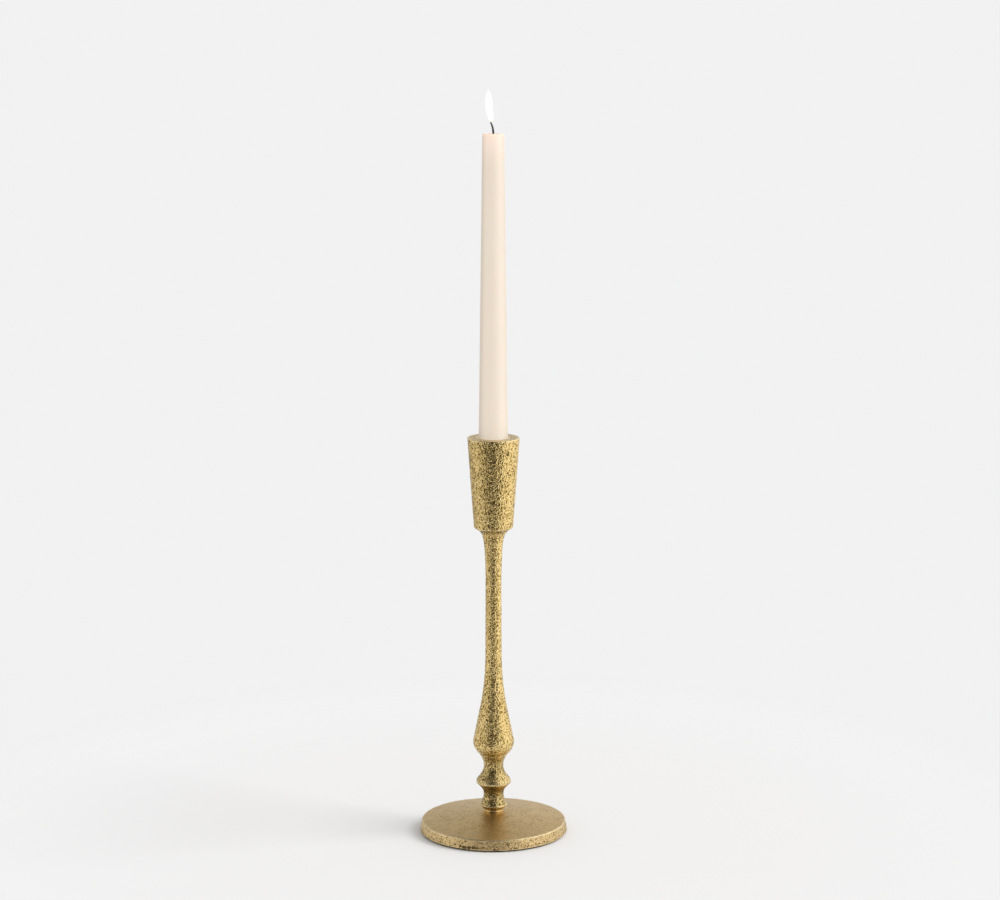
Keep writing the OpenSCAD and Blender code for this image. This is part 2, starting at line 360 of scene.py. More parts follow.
def lathe_tree():
    """Turns the object's own curve round the Z axis and gives it a cast skin."""
    tree = new_tree("Turned casting", {
        "Facets around": ("NodeSocketInt", 192),
        "Grain size": ("NodeSocketFloat", 1.3 * MM),
        "Grain depth": ("NodeSocketFloat", 0.1 * MM),
        "Swell size": ("NodeSocketFloat", 22 * MM),
        "Swell depth": ("NodeSocketFloat", 0.1 * MM),
        "Pits": ("NodeSocketObject", None),
        "Seed": ("NodeSocketFloat", 1.0),
        "Material": ("NodeSocketMaterial", None),
    })
    given = add(tree, "NodeGroupInput").outputs

    held = tree.nodes.new("GeometryNodeCaptureAttribute")
    held.capture_items.new("FLOAT", "skin")
    held.capture_items.new("FLOAT", "edge")
    tree.links.new(given["Geometry"], held.inputs["Geometry"])
    tree.links.new(add(tree, "GeometryNodeInputRadius").outputs[0], held.inputs["skin"])
    tree.links.new(add(tree, "GeometryNodeInputCurveTilt").outputs[0], held.inputs["edge"])
    skin, edge = held.outputs["skin"], held.outputs["edge"]

    feeds = {"Resolution": given["Facets around"], "Radius": 1e-6}
    axis = add(tree, "GeometryNodeCurvePrimitiveCircle", feeds).outputs[0]
    feeds = {"Curve": axis, "Profile Curve": held.outputs[0]}
    swept = add(tree, "GeometryNodeCurveToMesh", feeds).outputs[0]
    feeds = {"Geometry": swept, "Distance": 0.008 * MM}
    closed = add(tree, "GeometryNodeMergeByDistance", feeds).outputs[0]
    shaped = add(tree, "GeometryNodeFlipFaces", {0: closed}).outputs[0]

    place = add(tree, "GeometryNodeInputPosition").outputs[0]
    moved = add(tree, "ShaderNodeVectorMath", {0: place, 1: given["Seed"]}, operation="ADD").outputs[0]
    fineness = calc(tree, "DIVIDE", 1.0, given["Grain size"])
    sand = noise(tree, moved, fineness, detail=1.0)
    feeds = {"Vector": moved, "Scale": calc(tree, "MULTIPLY", fineness, 0.75)}
    cells = add(tree, "ShaderNodeTexVoronoi", feeds, feature="SMOOTH_F1").outputs["Distance"]
    swell = noise(tree, moved, calc(tree, "DIVIDE", 1.0, given["Swell size"]), detail=1.0)

    grain = calc(tree, "MULTIPLY", calc(tree, "SUBTRACT", sand, 0.5), 3.2)
    pebble = calc(tree, "MULTIPLY", calc(tree, "SUBTRACT", 0.45, cells), 1.1)
    relief = calc(tree, "MULTIPLY", calc(tree, "ADD", grain, pebble), skin)

    pits = add(tree, "GeometryNodeObjectInfo", {"Object": given["Pits"]}).outputs["Geometry"]
    nearest = add(tree, "GeometryNodeSampleNearest", {"Geometry": pits}).outputs[0]
    named = add(tree, "GeometryNodeInputNamedAttribute", {"Name": "pit_radius"}, data_type="FLOAT")
    centre = sampled_at(tree, pits, nearest, place, "FLOAT_VECTOR")
    radius = calc(tree, "MAXIMUM", sampled_at(tree, pits, nearest, named.outputs[0], "FLOAT"), 1e-7)
    away = add(tree, "ShaderNodeVectorMath", {0: place, 1: centre}, operation="DISTANCE").outputs["Value"]
    bowl = ease(tree, calc(tree, "DIVIDE", away, radius), 1.0, 0.15)
    pit = calc(tree, "MULTIPLY", calc(tree, "MULTIPLY", bowl, radius), PIT_DEPTH)

    rise = calc(tree, "MULTIPLY", relief, given["Grain depth"])
    slow = calc(tree, "MULTIPLY", calc(tree, "SUBTRACT", swell, 0.5), given["Swell depth"])
    rise = calc(tree, "ADD", rise, calc(tree, "MULTIPLY", slow, skin))
    rise = calc(tree, "SUBTRACT", rise, pit)
    normal = add(tree, "GeometryNodeInputNormal").outputs[0]
    push = add(tree, "ShaderNodeVectorMath", {0: normal, "Scale": rise}, operation="SCALE").outputs[0]

    sunk = calc(tree, "SUBTRACT", relief, calc(tree, "MULTIPLY", bowl, PIT_BROWN))
    marks = {"relief": sunk, "edge": edge, "skin": skin}
    for name, value in marks.items():
        feeds = {"Geometry": shaped, "Name": name, "Value": value}
        shaped = add(tree, "GeometryNodeStoreNamedAttribute", feeds, data_type="FLOAT").outputs[0]
    shaped = add(tree, "GeometryNodeSetPosition", {"Geometry": shaped, "Offset": push}).outputs[0]
    fold = add(tree, "GeometryNodeInputMeshEdgeAngle").outputs[0]
    soft_fold = calc(tree, "LESS_THAN", fold, CRISP)
    feeds = {"Geometry": shaped, "Shade Smooth": soft_fold}
    shaped = add(tree, "GeometryNodeSetShadeSmooth", feeds, domain="EDGE").outputs[0]
    finish_tree(tree, shaped, given["Material"])
    return tree


TURNED = lathe_tree()
print("lathe tree has", len(TURNED.nodes), "nodes")


# %% Running a tree and keeping the plain mesh
def set_inputs(modifier, values):
    """A modifier's inputs are addressed by each socket's identifier."""
    for item in modifier.node_group.interface.items_tree:
        if item.item_type == "SOCKET" and item.in_out == "INPUT" and item.name in values:
            modifier[item.identifier] = values[item.name]


def grown(name, source, tree, values):
    """Runs a tree on an object, and returns the result as a plain mesh object."""
    modifier = source.modifiers.new("grow", "NODES")
    modifier.node_group = tree
    set_inputs(modifier, values)
    depsgraph = bpy.context.evaluated_depsgraph_get()
    mesh = bpy.data.meshes.new_from_object(
        source.evaluated_get(depsgraph), preserve_all_data_layers=True, depsgraph=depsgraph
    )
    mesh.name = name
    bpy.data.objects.remove(source)
    made = bpy.data.objects.new(name, mesh)
    scene.collection.objects.link(made)
    return made


def measured(piece):
    """Prints a piece's size and checks that its faces point outwards."""
    shape = bmesh.new()
    shape.from_mesh(piece.data)
    volume = shape.calc_volume(signed=True)
    open_edges = sum(1 for e in shape.edges if not e.is_manifold)
    shape.free()
    triangles = sum(len(p.vertices) - 2 for p in piece.data.polygons)
    size = ", ".join(f"{v / MM:.1f}" for v in piece.dimensions)
    print(f"{piece.name}: {size} mm, {triangles} triangles, {volume * 1e6:.1f} cm3, {open_edges} open edges")
    return piece


def turned(name, points, foot, material, closed_ring=False, pits=None, rubbed_to=math.inf, **settings):
    """Turns an outline given in mm above foot. Sharp edges are rubbed bright only below rubbed_to."""
    shape = bpy.data.curves.new(name + "_outline", "CURVE")
    shape.dimensions = "3D"
    spline = shape.splines.new("POLY")
    spline.points.add(len(points) - 1)
    worn = edges_of(points)
    for point, (r, z, skin), edge in zip(spline.points, points, worn):
        # the sweep lays a curve's Y downwards, so a height goes in with its sign turned
        point.co = (r * MM, -(foot + z * MM), 0, 1)
        point.radius = skin
        point.tilt = edge if z < rubbed_to else min(edge, 0.0)
    spline.use_cyclic_u = closed_ring
    source = bpy.data.objects.new(name + "_outline", shape)
    scene.collection.objects.link(source)
    pitted = pit_cloud(name, pits or [])
    values = {"Pits": pitted, "Material": material}
    values.update({key.replace("_", " ").capitalize(): value for key, value in settings.items()})
    piece = grown(name, source, TURNED, values)
    bpy.data.objects.remove(pitted)
    return measured(piece)


def pit_cloud(name, pits):
    """A loose set of points, each with the radius of the pit it stands for. pits are x, y, z, radius."""
    mesh = bpy.data.meshes.new(name + "_pits")
    mesh.from_pydata([p[:3] for p in pits], [], [])
    sizes = mesh.attributes.new("pit_radius", "FLOAT", "POINT")
    sizes.data.foreach_set("value", [p[3] for p in pits])
    cloud = bpy.data.objects.new(name + "_pits", mesh)
    scene.collection.objects.link(cloud)
    return cloud


# %% [markdown]
# ## Brass that was cast, darkened and handled
# Bare brass is one even yellow. This candlestick was cast in sand, browned in a bath and rubbed back,
# so the colour follows the relief: brown stays down in the grain and in the pits, and the high spots
# and the turned edges are rubbed bright. Painting that by hand would take a texture, so the lathe
# tree left three attributes on every casting, relief, edge and skin, and the shader reads them: how
# high a spot stands, whether it is an edge or a hollow, and how much of the mould's skin it kept.
# One node group holds the effect, and each material places it with its own colours. The group only
# makes colours and values: the metal itself stays a Principled shader in each material.

# %% Shader groups
def new_group(name, inputs, outputs):
    """A shader node group with named sockets. Returns its tree and the sockets of its input node."""
    tree = bpy.data.node_groups.new(name, "ShaderNodeTree")
    for label, (kind, value) in inputs.items():
        tree.interface.new_socket(label, in_out="INPUT", socket_type=kind).default_value = value
    for label, kind in outputs.items():
        tree.interface.new_socket(label, in_out="OUTPUT", socket_type=kind)
    return tree, add(tree, "NodeGroupInput").outputs


# %% The cast skin group
RELIEF_WEIGHT = 1.5       # how much each thing moves a spot from brown towards rubbed
SPECK_WEIGHT = 2.4
CLOUD_WEIGHT = 0.9
HOLLOW_WEIGHT = 1.1
CLOUD_SIZE = 9 * MM       # the size of the slow clouds in the browning
WORN_BRASS = (1.0, 0.86, 0.56, 1)


def cast_skin_group():
    """Colour, roughness, metal and fine height of cast brass, from how high each spot stands."""
    tree, given = new_group("Cast skin", {
        "Relief": ("NodeSocketFloat", 0.0),
        "Edge": ("NodeSocketFloat", 0.0),
        "Skin": ("NodeSocketFloat", 1.0),
        "Rubbed": ("NodeSocketColor", (0.78, 0.6, 0.31, 1)),
        "Body": ("NodeSocketColor", (0.62, 0.45, 0.2, 1)),
        "Brown": ("NodeSocketColor", (0.12, 0.065, 0.015, 1)),
        "Browning": ("NodeSocketFloat", 0.8),
        "Speck size": ("NodeSocketFloat", 0.6 * MM),
        "Speck strength": ("NodeSocketFloat", 1.0),
        "Smoothness": ("NodeSocketFloat", 0.65),
    }, {
        "Color": "NodeSocketColor",
        "Roughness": "NodeSocketFloat",
        "Metal": "NodeSocketFloat",
        "Height": "NodeSocketFloat",
    })
    place = add(tree, "ShaderNodeTexCoord").outputs["Object"]
    speck = noise(tree, place, calc(tree, "DIVIDE", 1.0, given["Speck size"]), detail=0.0)
    cloud = noise(tree, place, 1 / CLOUD_SIZE, detail=3.0, roughness=0.6)
    strength = calc(tree, "MULTIPLY", given["Speck strength"], given["Skin"])
    strength = calc(tree, "MULTIPLY", strength, SPECK_WEIGHT)
    specks = calc(tree, "MULTIPLY", calc(tree, "SUBTRACT", speck, 0.5), strength)
    clouds = calc(tree, "MULTIPLY", calc(tree, "SUBTRACT", cloud, 0.5), CLOUD_WEIGHT)
    hollow = ease(tree, given["Edge"], 0.0, -0.9)
    strong = calc(tree, "MULTIPLY", given["Relief"], RELIEF_WEIGHT)
    stand = calc(tree, "ADD", strong, calc(tree, "ADD", specks, clouds))
    stand = calc(tree, "SUBTRACT", stand, calc(tree, "MULTIPLY", hollow, HOLLOW_WEIGHT))
    high = ease(tree, stand, -0.4, 0.8)
    brown = calc(tree, "MULTIPLY", ease(tree, stand, -0.1, -0.9), given["Browning"])
    colour = blend(tree, high, given["Body"], given["Rubbed"])
    colour = blend(tree, brown, colour, given["Brown"])
    bright = blend(tree, 0.5, given["Rubbed"], WORN_BRASS)
    worn = calc(tree, "MULTIPLY", calc(tree, "MAXIMUM", given["Edge"], 0.0), 0.8)
    colour = blend(tree, worn, colour, bright)
    rough = calc(tree, "SUBTRACT", 1.0, given["Smoothness"])
    rough = calc(tree, "ADD", rough, calc(tree, "MULTIPLY", brown, 0.2))
    rough = calc(tree, "SUBTRACT", rough, calc(tree, "MULTIPLY", worn, 0.12), clamp=True)
    metal = calc(tree, "SUBTRACT", 1.0, calc(tree, "MULTIPLY", brown, 0.3))
    feeds = {"Color": colour, "Roughness": rough, "Metal": metal, "Height": speck}
    add(tree, "NodeGroupOutput", feeds)
    return tree


CAST_SKIN = cast_skin_group()
print("cast skin group has", len(CAST_SKIN.nodes), "nodes")


# %% Placing a group in a material
def new_material(name):
    """A material with a bare Principled shader. Returns the material, its tree and its shader."""
    made = bpy.data.materials.new(name)
    made.use_nodes = True
    return made, made.node_tree, made.node_tree.nodes["Principled BSDF"]


def placed(tree, group, feeds=None):
    """A group put into a material with its own values."""
    return add(tree, "ShaderNodeGroup", feeds, node_tree=group).outputs


def bumped(tree, shader, height, distance, strength=1.0):
    """Feeds a height to the shader's normal."""
    feeds = {"Height": height, "Distance": distance, "Strength": strength}
    tree.links.new(add(tree, "ShaderNodeBump", feeds).outputs[0], shader.inputs["Normal"])


def brass(name, bump, **values):
    """A brass finish. values are the Cast skin group's own inputs."""
    made, tree, shader = new_material(name)
    feeds = {key.replace("_", " ").capitalize(): value for key, value in values.items()}
    for mark in ("relief", "edge", "skin"):
        feeds[mark.capitalize()] = add(tree, "ShaderNodeAttribute", attribute_name=mark).outputs["Fac"]
    skin = placed(tree, CAST_SKIN, feeds)
    tree.links.new(skin["Color"], shader.inputs["Base Color"])
    tree.links.new(skin["Roughness"], shader.inputs["Roughness"])
    tree.links.new(skin["Metal"], shader.inputs["Metallic"])
    bumped(tree, shader, skin["Height"], bump)
    return made


# %% The four brass finishes
stippled_brass = brass(
    "stippled_brass", 0.42 * MM,
    rubbed=(0.9, 0.69, 0.33, 1), body=(0.64, 0.45, 0.15, 1), brown=(0.05, 0.028, 0.004, 1),
    browning=0.8, speck_size=0.75 * MM, speck_strength=0.33, smoothness=0.91,
)
knop_brass = brass(
    "knop_brass", 0.26 * MM,
    rubbed=(0.84, 0.65, 0.32, 1), body=(0.54, 0.39, 0.14, 1), brown=(0.06, 0.036, 0.006, 1),
    browning=0.88, speck_size=0.75 * MM, speck_strength=0.42, smoothness=0.83,
)
satin_brass = brass(
    "satin_brass", 0.1 * MM,
    rubbed=(0.82, 0.62, 0.33, 1), body=(0.64, 0.46, 0.21, 1), brown=(0.07, 0.04, 0.01, 1),
    browning=0.9, speck_size=0.65 * MM, speck_strength=0.6, smoothness=0.62,
)
ring_brass = brass(
    "ring_brass", 0.01 * MM,
    rubbed=(0.9, 0.7, 0.36, 1), body=(0.8, 0.6, 0.28, 1), brown=(0.2, 0.1, 0.03, 1),
    browning=0.4, speck_size=0.8 * MM, speck_strength=0.5, smoothness=0.78,
)
for finish in (stippled_brass, knop_brass, satin_brass, ring_brass):
    print(finish.name, "made of", len(finish.node_tree.nodes), "nodes")

# %% [markdown]
# ## The cup
# The cup is the heaviest casting after the base. Outside it keeps its sand skin from the cove to the
# rim; the rim is faced off, and the socket is bored to let a seven-eighths taper drop in. Its outline
# begins inside the tapped hole at the foot and ends in the middle of the socket's floor, so the turned
# shell closes on itself at both ends.

# %% Sizes shared by the castings
TAPPED_R = 3.05           # a tapped M6 hole's radius, in mm
CLEAR_R = 3.3             # a clearance hole's radius, in mm


def span(node):
    """A node's foot height and its height and radius, in mm."""
    low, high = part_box(node)
    return low.z / MM, (high.z - low.z) / MM, high.x / MM


def stud_end(hole_node, stud_node, top):
    """Height of a blind tapped hole's end in its own casting: a little past the stud's end."""
    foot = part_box(hole_node)[0].z / MM
    low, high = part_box(stud_node)
    return (high.z / MM + 1.5 if top else low.z / MM - 1.5) - foot


def around(points, foot, count, sizes, seed, heights=None, sector=(-180, 180)):
    """Scatters pits on an outline's cast skin. A sector's 0 degrees faces the camera's side."""
    rng = np.random.default_rng(seed)
    low, high = heights or (points[:, 1].min(), points[:, 1].max())
    within = (points[:, 1] >= low) & (points[:, 1] <= high)
    able = points[(points[:, 2] >= LEAST_SKIN) & within]
    made = []
    for r, z, _ in able[rng.integers(0, len(able), count)]:
        turn = math.radians(rng.uniform(*sector))
        size = sizes[0] + (sizes[1] - sizes[0]) * rng.random() ** 2
        made.append((r * MM * math.sin(turn), -r * MM * math.cos(turn), foot + z * MM, size * MM))
    return made


# %% Cup
def cup_outline():
    """The cup's half section, in mm above its foot."""
    _, height, rim_r = span("candle_cup")
    foot_r, soft, cove_top, neck_r, bevel = 14.65, 2.0, 3.9, 9.0, 0.4
    socket_r, socket_depth = 11.4, 28
    hole = stud_end("candle_cup", "upper_stud", top=True)
    lean = math.degrees(math.atan((rim_r - foot_r) / (height - cove_top)))
    corner = arc((foot_r - soft, cove_top + soft + 0.2), soft, -90, -lean)
    lip_r = foot_r - soft - 0.45
    return outline(
        cut(line((0, hole), (TAPPED_R, hole), COARSE)),
        cut(line((TAPPED_R, hole), (TAPPED_R, 0), COARSE)),
        cut(line((TAPPED_R, 0), (neck_r - 0.2, 0), COARSE)),
        cast(curve((neck_r, 0.2), (neck_r + 0.7, 1.3), (lip_r - 1, cove_top - 0.7), (lip_r, cove_top))),
        cast(corner),
        cast(line(corner[-1], (rim_r, height - bevel))),
        cut(line((rim_r, height - bevel), (rim_r - bevel, height), 0.14)),
        cut(line((rim_r - bevel, height), (socket_r + bevel, height)), FACED_SKIN),
        cut(line((socket_r + bevel, height), (socket_r, height - bevel), 0.14)),
        cut(line((socket_r, height - bevel), (socket_r, height - socket_depth), COARSE)),
        cut(line((socket_r, height - socket_depth), (0, height - socket_depth), COARSE)),
    )


NICK_R = 18.85            # a short upright nick near the rim: a row of pits that run together, in mm
NICK_LOW = 293.6
NICK_STEP = 0.5
NICK_PIT = 0.85
NICK_TURN = math.radians(35.5)

cup_points = cup_outline()
cup_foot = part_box("candle_cup")[0].z
cup_pits = around(cup_points, cup_foot, 260, (0.3, 0.7), seed=3)
for step in range(6):
    x = NICK_R * MM * math.sin(NICK_TURN)
    y = -NICK_R * MM * math.cos(NICK_TURN)
    cup_pits.append((x, y, (NICK_LOW + NICK_STEP * step) * MM, NICK_PIT * MM))
cup = turned(
    "cup", cup_points, cup_foot, stippled_brass, pits=cup_pits,
    facets_around=330, grain_size=1.15 * MM, grain_depth=0.3 * MM, swell_depth=0.12 * MM, seed=2.0,
)

# %% [markdown]
# ## The stem
# One long casting: a bulb at the foot that tapers over some seventy millimetres into a slender rod,
# with a slight waist, and a flare at the top that the cup stands on. The long taper is a single cubic
# curve, because a row of hand-set points would show as flats in the highlight.

# %% Stem
def stem_outline():
    """The stem's half section, in mm above its foot."""
    _, length, bulb_r = span("stem")
    bulb_z, seat_r, stem_r, waist_r, top_r = 9.2, 10.6, 6.1, 5.95, 8.9
    taper = (bulb_r - 0.8, bulb_z + 5)
    low_hole = stud_end("stem", "lower_stud", top=True)
    high_hole = stud_end("stem", "upper_stud", top=False)
    return outline(
        cut(line((0, low_hole), (TAPPED_R, low_hole), COARSE)),
        cut(line((TAPPED_R, low_hole), (TAPPED_R, 0), COARSE)),
        cut(line((TAPPED_R, 0), (seat_r + 0.1, 0), COARSE)),
        cast(curve((seat_r + 0.5, 0.4), (bulb_r - 2.9, 1.8), (bulb_r, bulb_z - 4), (bulb_r, bulb_z))),
        cast(curve((bulb_r, bulb_z + 0.4), (bulb_r, bulb_z + 2), (taper[0] + 0.35, taper[1] - 1.7), taper)),
        cast(curve((taper[0] - 0.2, taper[1] + 1), (taper[0] - 6.2, taper[1] + 30.5),
                   (stem_r + 0.05, 53), (stem_r, 83))),
        cast(line((stem_r, 83), (waist_r, length - 43.5))),
        cast(curve((waist_r, length - 43.5), (waist_r, length - 18), (waist_r + 0.65, length - 4.2),
                   (top_r, length - 0.2))),
        cut(line((top_r - 0.2, length), (TAPPED_R, length), COARSE)),
        cut(line((TAPPED_R, length), (TAPPED_R, high_hole), COARSE)),
        cut(line((TAPPED_R, high_hole), (0, high_hole), COARSE)),
    )


stem_points = stem_outline()
stem_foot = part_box("stem")[0].z
stem_pits = around(stem_points, stem_foot, 420, (0.3, 0.7), seed=5)
stem = turned(
    "stem_casting", stem_points, stem_foot, stippled_brass, pits=stem_pits, rubbed_to=0.0,
    facets_around=208, grain_size=1.1 * MM, grain_depth=0.22 * MM, swell_depth=0.1 * MM, seed=4.0,
)

# %% [markdown]
# ## The lower knop and its ring
# A short turned section gives the stem its rhythm: collar, neck, knop, neck. It was cast like the
# rest but polished further, because its hollows are easy to reach with a buff. Its lower edges caught
# the buff most and show as thin bright lines. A plain ring lifts it off the base.

# %% Knop
def knop_outline():
    """The knop section's half section, in mm above its foot."""
    _, height, knop_r = span("lower_knop")
    ring_r = span("foot_ring")[2]
    collar_r, collar_z, knop_z, seat_r = 10.4, 3.5, 21.5, 10.6
    low_neck, high_neck = (7.6, 12.6), (7.4, 34.3)
    return outline(
        cut(line((TAPPED_R, 0), (ring_r + 0.4, 0), COARSE)),
        cast(line((ring_r + 0.4, 0), (collar_r - 0.7, collar_z - 0.9), 0.3)),
        cast(arc((collar_r - 0.6, collar_z), 0.6, -45, 50, 0.15)),
        cast(cove((collar_r - 0.7, collar_z + 1), low_neck, 0.35)),
        cast(cove((knop_r - 0.3, knop_z - 1), low_neck, 0.35)[::-1]),
        cast(line((knop_r, knop_z - 0.6), (knop_r, knop_z + 0.5), 0.3)),
        cast(line((knop_r - 0.2, knop_z + 1.4), (knop_r - 0.9, knop_z + 2.8), 0.3)),
        cast(cove((knop_r - 0.9, knop_z + 2.8), high_neck, 0.35)),
        cast(cove((seat_r - 0.1, height - 0.4), high_neck, 0.35)[::-1]),
        cut(line((seat_r - 0.3, height), (TAPPED_R, height), COARSE)),
        cut(line((TAPPED_R, height), (TAPPED_R, COARSE), COARSE)),
    )


knop_points = knop_outline()
knop_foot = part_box("lower_knop")[0].z
knop_pits = around(knop_points, knop_foot, 130, (0.3, 0.65), seed=8)
knop = turned(
    "knop_casting", knop_points, knop_foot, knop_brass, closed_ring=True, pits=knop_pits, rubbed_to=30.0,
    facets_around=240, grain_size=0.85 * MM, grain_depth=0.12 * MM, swell_depth=0.08 * MM, seed=6.0,
)


# %% Foot ring
def ring_outline():
    """The ring's section: a low band with softened edges."""
    _, height, r = span("foot_ring")
    soft = 0.45
    return outline(
        cut(line((CLEAR_R, 0), (r - soft, 0), COARSE)),
        cut(arc((r - soft, soft), soft, -90, 0, 0.1)),
        cut(arc((r - soft, height - soft), soft, 0, 90, 0.1)),
        cut(line((r - soft, height), (CLEAR_R, height), COARSE)),
    )


ring = turned(
    "bright_ring", ring_outline(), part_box("foot_ring")[0].z, ring_brass, closed_ring=True,
    facets_around=128, grain_depth=0.0, swell_depth=0.0,
)

# %% [markdown]
# ## The base
# A round plate with a leaning wall and a shallow domed top. Its top was sanded to a satin, so its
# grain is finer and flatter than the cup's. The wall kept more of the mould: a cluster of gas pits
# near its foot on the left of the front, a few more to the right, and some on the top. Each of those
# is a point in a list, so a pit can be moved without touching the shape.

# %% Base
def base_outline():
    """The base's half section, in mm above the surface it stands on."""
    _, _, r = span("base_disc")
    proud, wall_top, top_z = 1.2, 9.3, 15.8
    bevel, edge_r, centre_r = 0.4, r - 1.3, 7.4
    felt_r, felt_z, bore_r, bore_z = span("felt_pad")[2] + 0.4, 2.0, 7.5, 10.0
    return outline(
        cut(line((CLEAR_R, bore_z), (bore_r, bore_z), COARSE)),
        cut(line((bore_r, bore_z), (bore_r, felt_z), COARSE)),
        cut(line((bore_r, felt_z), (felt_r, felt_z), COARSE)),
        cut(line((felt_r, felt_z), (felt_r, proud), COARSE)),
        cut(line((felt_r, proud), (r - bevel, proud), COARSE)),
        cast(line((r, proud + bevel), (edge_r + 0.1, wall_top - 0.9))),
        cast(curve((edge_r + 0.1, wall_top - 0.9), (edge_r, wall_top - 0.3),
                   (edge_r - 0.4, wall_top - 0.05), (edge_r - 1, wall_top), 0.2)),
        cut(curve((edge_r - 1, wall_top), (edge_r - 15, wall_top + 2.5),
                  (centre_r + 16, top_z - 1.3), (centre_r, top_z)), SANDED_SKIN),
        cut(line((centre_r, top_z), (CLEAR_R, top_z), COARSE)),
        cut(line((CLEAR_R, top_z), (CLEAR_R, bore_z + 1), COARSE)),
    )


def dome_spot(points, x, y):
    """The height of the base's top at a place in plan, in mm."""
    top = points[points[:, 2] == SANDED_SKIN]
    return float(np.interp(math.hypot(x, y), top[::-1, 0], top[::-1, 1]))


WALL = (1.4, 8.4)         # the heights between which the wall and the top carry pits, in mm
TOP = (9.5, 15.5)
LONE_PITS = ((-40, -2, 0.6), (-12, -8, 0.45), (10, -16, 0.5), (-22, -30, 0.4), (28, 12, 0.4))
SCRATCH_PIT = 0.38        # the shallow scratch on the right of the top is a row of these

base_points = base_outline()
base_pits = (
    around(base_points, 0, 22, (0.45, 1.1), seed=11, heights=(1.7, 3.8), sector=(-24, -14))
    + around(base_points, 0, 40, (0.25, 0.6), seed=12, heights=WALL, sector=(-38, 45))
    + around(base_points, 0, 60, (0.2, 0.5), seed=13, heights=WALL)
    + around(base_points, 0, 90, (0.2, 0.45), seed=14, heights=TOP)
)
for x, y, size in LONE_PITS:
    base_pits.append((x * MM, y * MM, dome_spot(base_points, x, y) * MM, size * MM))
for step in range(9):
    x, y = 33 + 0.5 * step, -12.6 - 0.18 * step
    base_pits.append((x * MM, y * MM, dome_spot(base_points, x, y) * MM, SCRATCH_PIT * MM))
print("pits on the base:", len(base_pits))

base = turned(
    "base_casting", base_points, 0.0, satin_brass, closed_ring=True, pits=base_pits,
    facets_around=536, grain_size=0.85 * MM, grain_depth=0.14 * MM, swell_depth=0.14 * MM, seed=9.0,
)

# %% [markdown]
# ## The taper candle
# A dipped or drawn taper is not a cone: it keeps a straight butt that fits the socket, then narrows
# very slightly, and a flame leaves a shallow pool round the wick. Wax lets light in deeply, so it
# takes subsurface scattering. What goes round and round inside such a slim candle comes out again on
# every side: a weak, even painted glow (emission) stands for that, weaker at the outline, and within
# a few centimetres of the flame the wax colour is painted a little warmer and the glow is stronger,
# as painted light from the flame. A real lamp inside the wax would need far more samples to look clean.

# %% Wax
wax_low, wax_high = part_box("candle_wax")
POOL_Z = wax_high.z
# painted flame light: over this reach below the pool the wax colour is painted warmer and its glow stronger
FLAME_GLOW_REACH = 26 * MM      # how far below the pool the flame's warmth reaches
WET_REACH = 1.2 * MM      # how far below the pool the wax is wet
LIGHT_REACH = 9 * MM      # how deep light goes into the wax


def make_wax():
    """Ivory wax: soft inside, slightly waxy outside, with a painted glow, warmer and stronger near the pool.
    """
    made, tree, shader = new_material("ivory_wax")
    where = add(tree, "ShaderNodeTexCoord").outputs["Object"]
    height = add(tree, "ShaderNodeSeparateXYZ", {0: where}).outputs[2]
    feeds = {0: where, 1: (1.0, 1.0, 0.12)}
    streak = add(tree, "ShaderNodeVectorMath", feeds, operation="MULTIPLY").outputs[0]
    mottle = noise(tree, streak, 1 / (7 * MM), detail=3.0)
    # near is the mask of the painted flame light: 1 just below the pool, fading to 0 lower down
    near = ease(tree, height, POOL_Z - FLAME_GLOW_REACH, POOL_Z - 1 * MM)
    ivory = blend(tree, mottle, (0.42, 0.37, 0.31, 1), (0.45, 0.415, 0.365, 1))
    # the wax colour is painted warmer near the flame, standing in for its light
    flame_lit_colour = blend(tree, near, ivory, (0.46, 0.38, 0.3, 1))
    tree.links.new(flame_lit_colour, shader.inputs["Base Color"])
    # painted glow: emission on all of the wax stands in for light scattered through it, brighter near the
    # flame
    glow = blend(tree, near, (0.51, 0.445, 0.37, 1), (0.62, 0.525, 0.46, 1))
    tree.links.new(glow, shader.inputs["Emission Color"])
    # the painted glow is made weaker towards the outline
    facing = add(tree, "ShaderNodeLayerWeight", {"Blend": 0.5}).outputs["Facing"]
    tree.links.new(ease(tree, facing, 0.1, 0.7, 1.0, 0.6), shader.inputs["Emission Strength"])
    shader.inputs["Subsurface Weight"].default_value = 0.85
    shader.inputs["Subsurface Radius"].default_value = (1.0, 0.5, 0.25)
    shader.inputs["Subsurface Scale"].default_value = LIGHT_REACH
    shader.inputs["Specular IOR Level"].default_value = 0.4
    dull = ease(tree, mottle, 0.3, 0.7, 0.42, 0.55)
    wet = ease(tree, height, POOL_Z - WET_REACH, POOL_Z - 0.3 * MM, 0.0, 0.3)
    tree.links.new(calc(tree, "SUBTRACT", dull, wet), shader.inputs["Roughness"])
    fine = noise(tree, streak, 1 / (1.6 * MM), detail=3.0)
    bumped(tree, shader, fine, 0.05 * MM, 0.5)
    return made


ivory_wax = make_wax()
print(ivory_wax.name, "made of", len(ivory_wax.node_tree.nodes), "nodes; pool at", round(POOL_Z, 4), "m")


